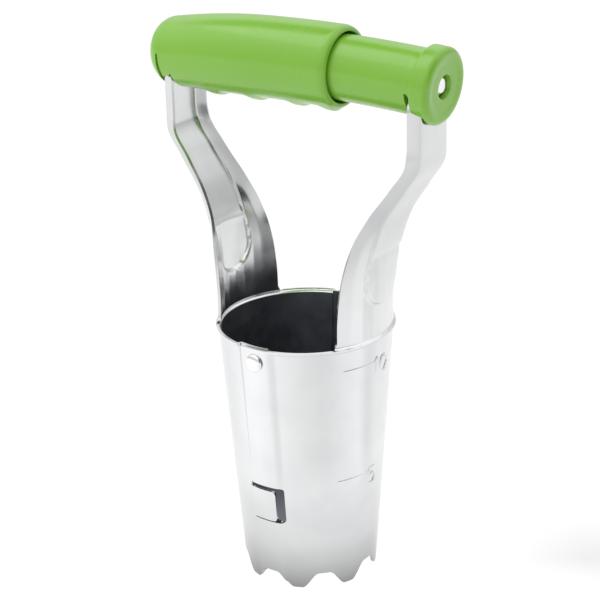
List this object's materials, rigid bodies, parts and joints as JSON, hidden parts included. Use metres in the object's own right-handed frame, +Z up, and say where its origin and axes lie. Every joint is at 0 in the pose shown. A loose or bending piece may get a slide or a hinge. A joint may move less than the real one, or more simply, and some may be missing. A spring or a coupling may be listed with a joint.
{
  "type": "hand transplanter",
  "caption": "Hand transplanter: toothed tapered soil cylinder in two hinged halves, arms up to a telescoping spring-loaded plastic handle that opens it.",
  "frame": {"origin": "on the soil cylinder's axis, in the plane of the teeth tips", "axes": "+Z up the cylinder's axis to the handle, +X along the handle to the inner grip's flanged end, +Y to the rear pivot"},
  "size_m": [0.1337, 0.0782, 0.2341],
  "materials": {
    "steel": "satin galvanised sheet",
    "rivet_steel": "bright plated",
    "green_plastic": "semi-gloss moulded",
    "zinc": "bright zinc plated",
    "spring_wire": "drawn wire"
  },
  "bodies": {
    "left_jaw": {"left_jaw": "steel", "front_rivet": "rivet_steel", "rear_rivet": "rivet_steel", "front_rivet_washer": "rivet_steel", "rear_rivet_washer": "rivet_steel"},
    "right_jaw": {"right_jaw": "steel"},
    "outer_grip": {"outer_grip": "green_plastic", "tie_rod": "zinc", "tie_rod_nut": "zinc", "outer_spring_washer": "zinc", "return_spring": "spring_wire"},
    "inner_grip": {"inner_grip": "green_plastic", "inner_spring_washer": "zinc"}
  },
  "joints": [
    {"name": "jaw_opening", "type": "hinge", "parent": "left_jaw", "child": "right_jaw", "pos_m": [0, 0, 0.104], "axis": [0, -1, 0], "range_deg": [0, 10], "stiffness_Nm_per_rad": 4, "springref_deg": -14.32, "deforming": ["return_spring"]},
    {"name": "outer_grip_tilt", "type": "hinge", "parent": "left_jaw", "child": "outer_grip", "pos_m": [-0.05995, 0, 0.2155], "axis": [0, -1, 0], "range_deg": [0, 5]},
    {"name": "inner_grip_tilt", "type": "hinge", "parent": "right_jaw", "child": "inner_grip", "pos_m": [0.05995, 0, 0.2155], "axis": [0, -1, 0], "range_deg": [-5, 0]}
  ],
  "couplings": [
    {"joint": "outer_grip_tilt", "follows": "jaw_opening", "ratio": 0.5},
    {"joint": "inner_grip_tilt", "follows": "jaw_opening", "ratio": -0.5}
  ]
}
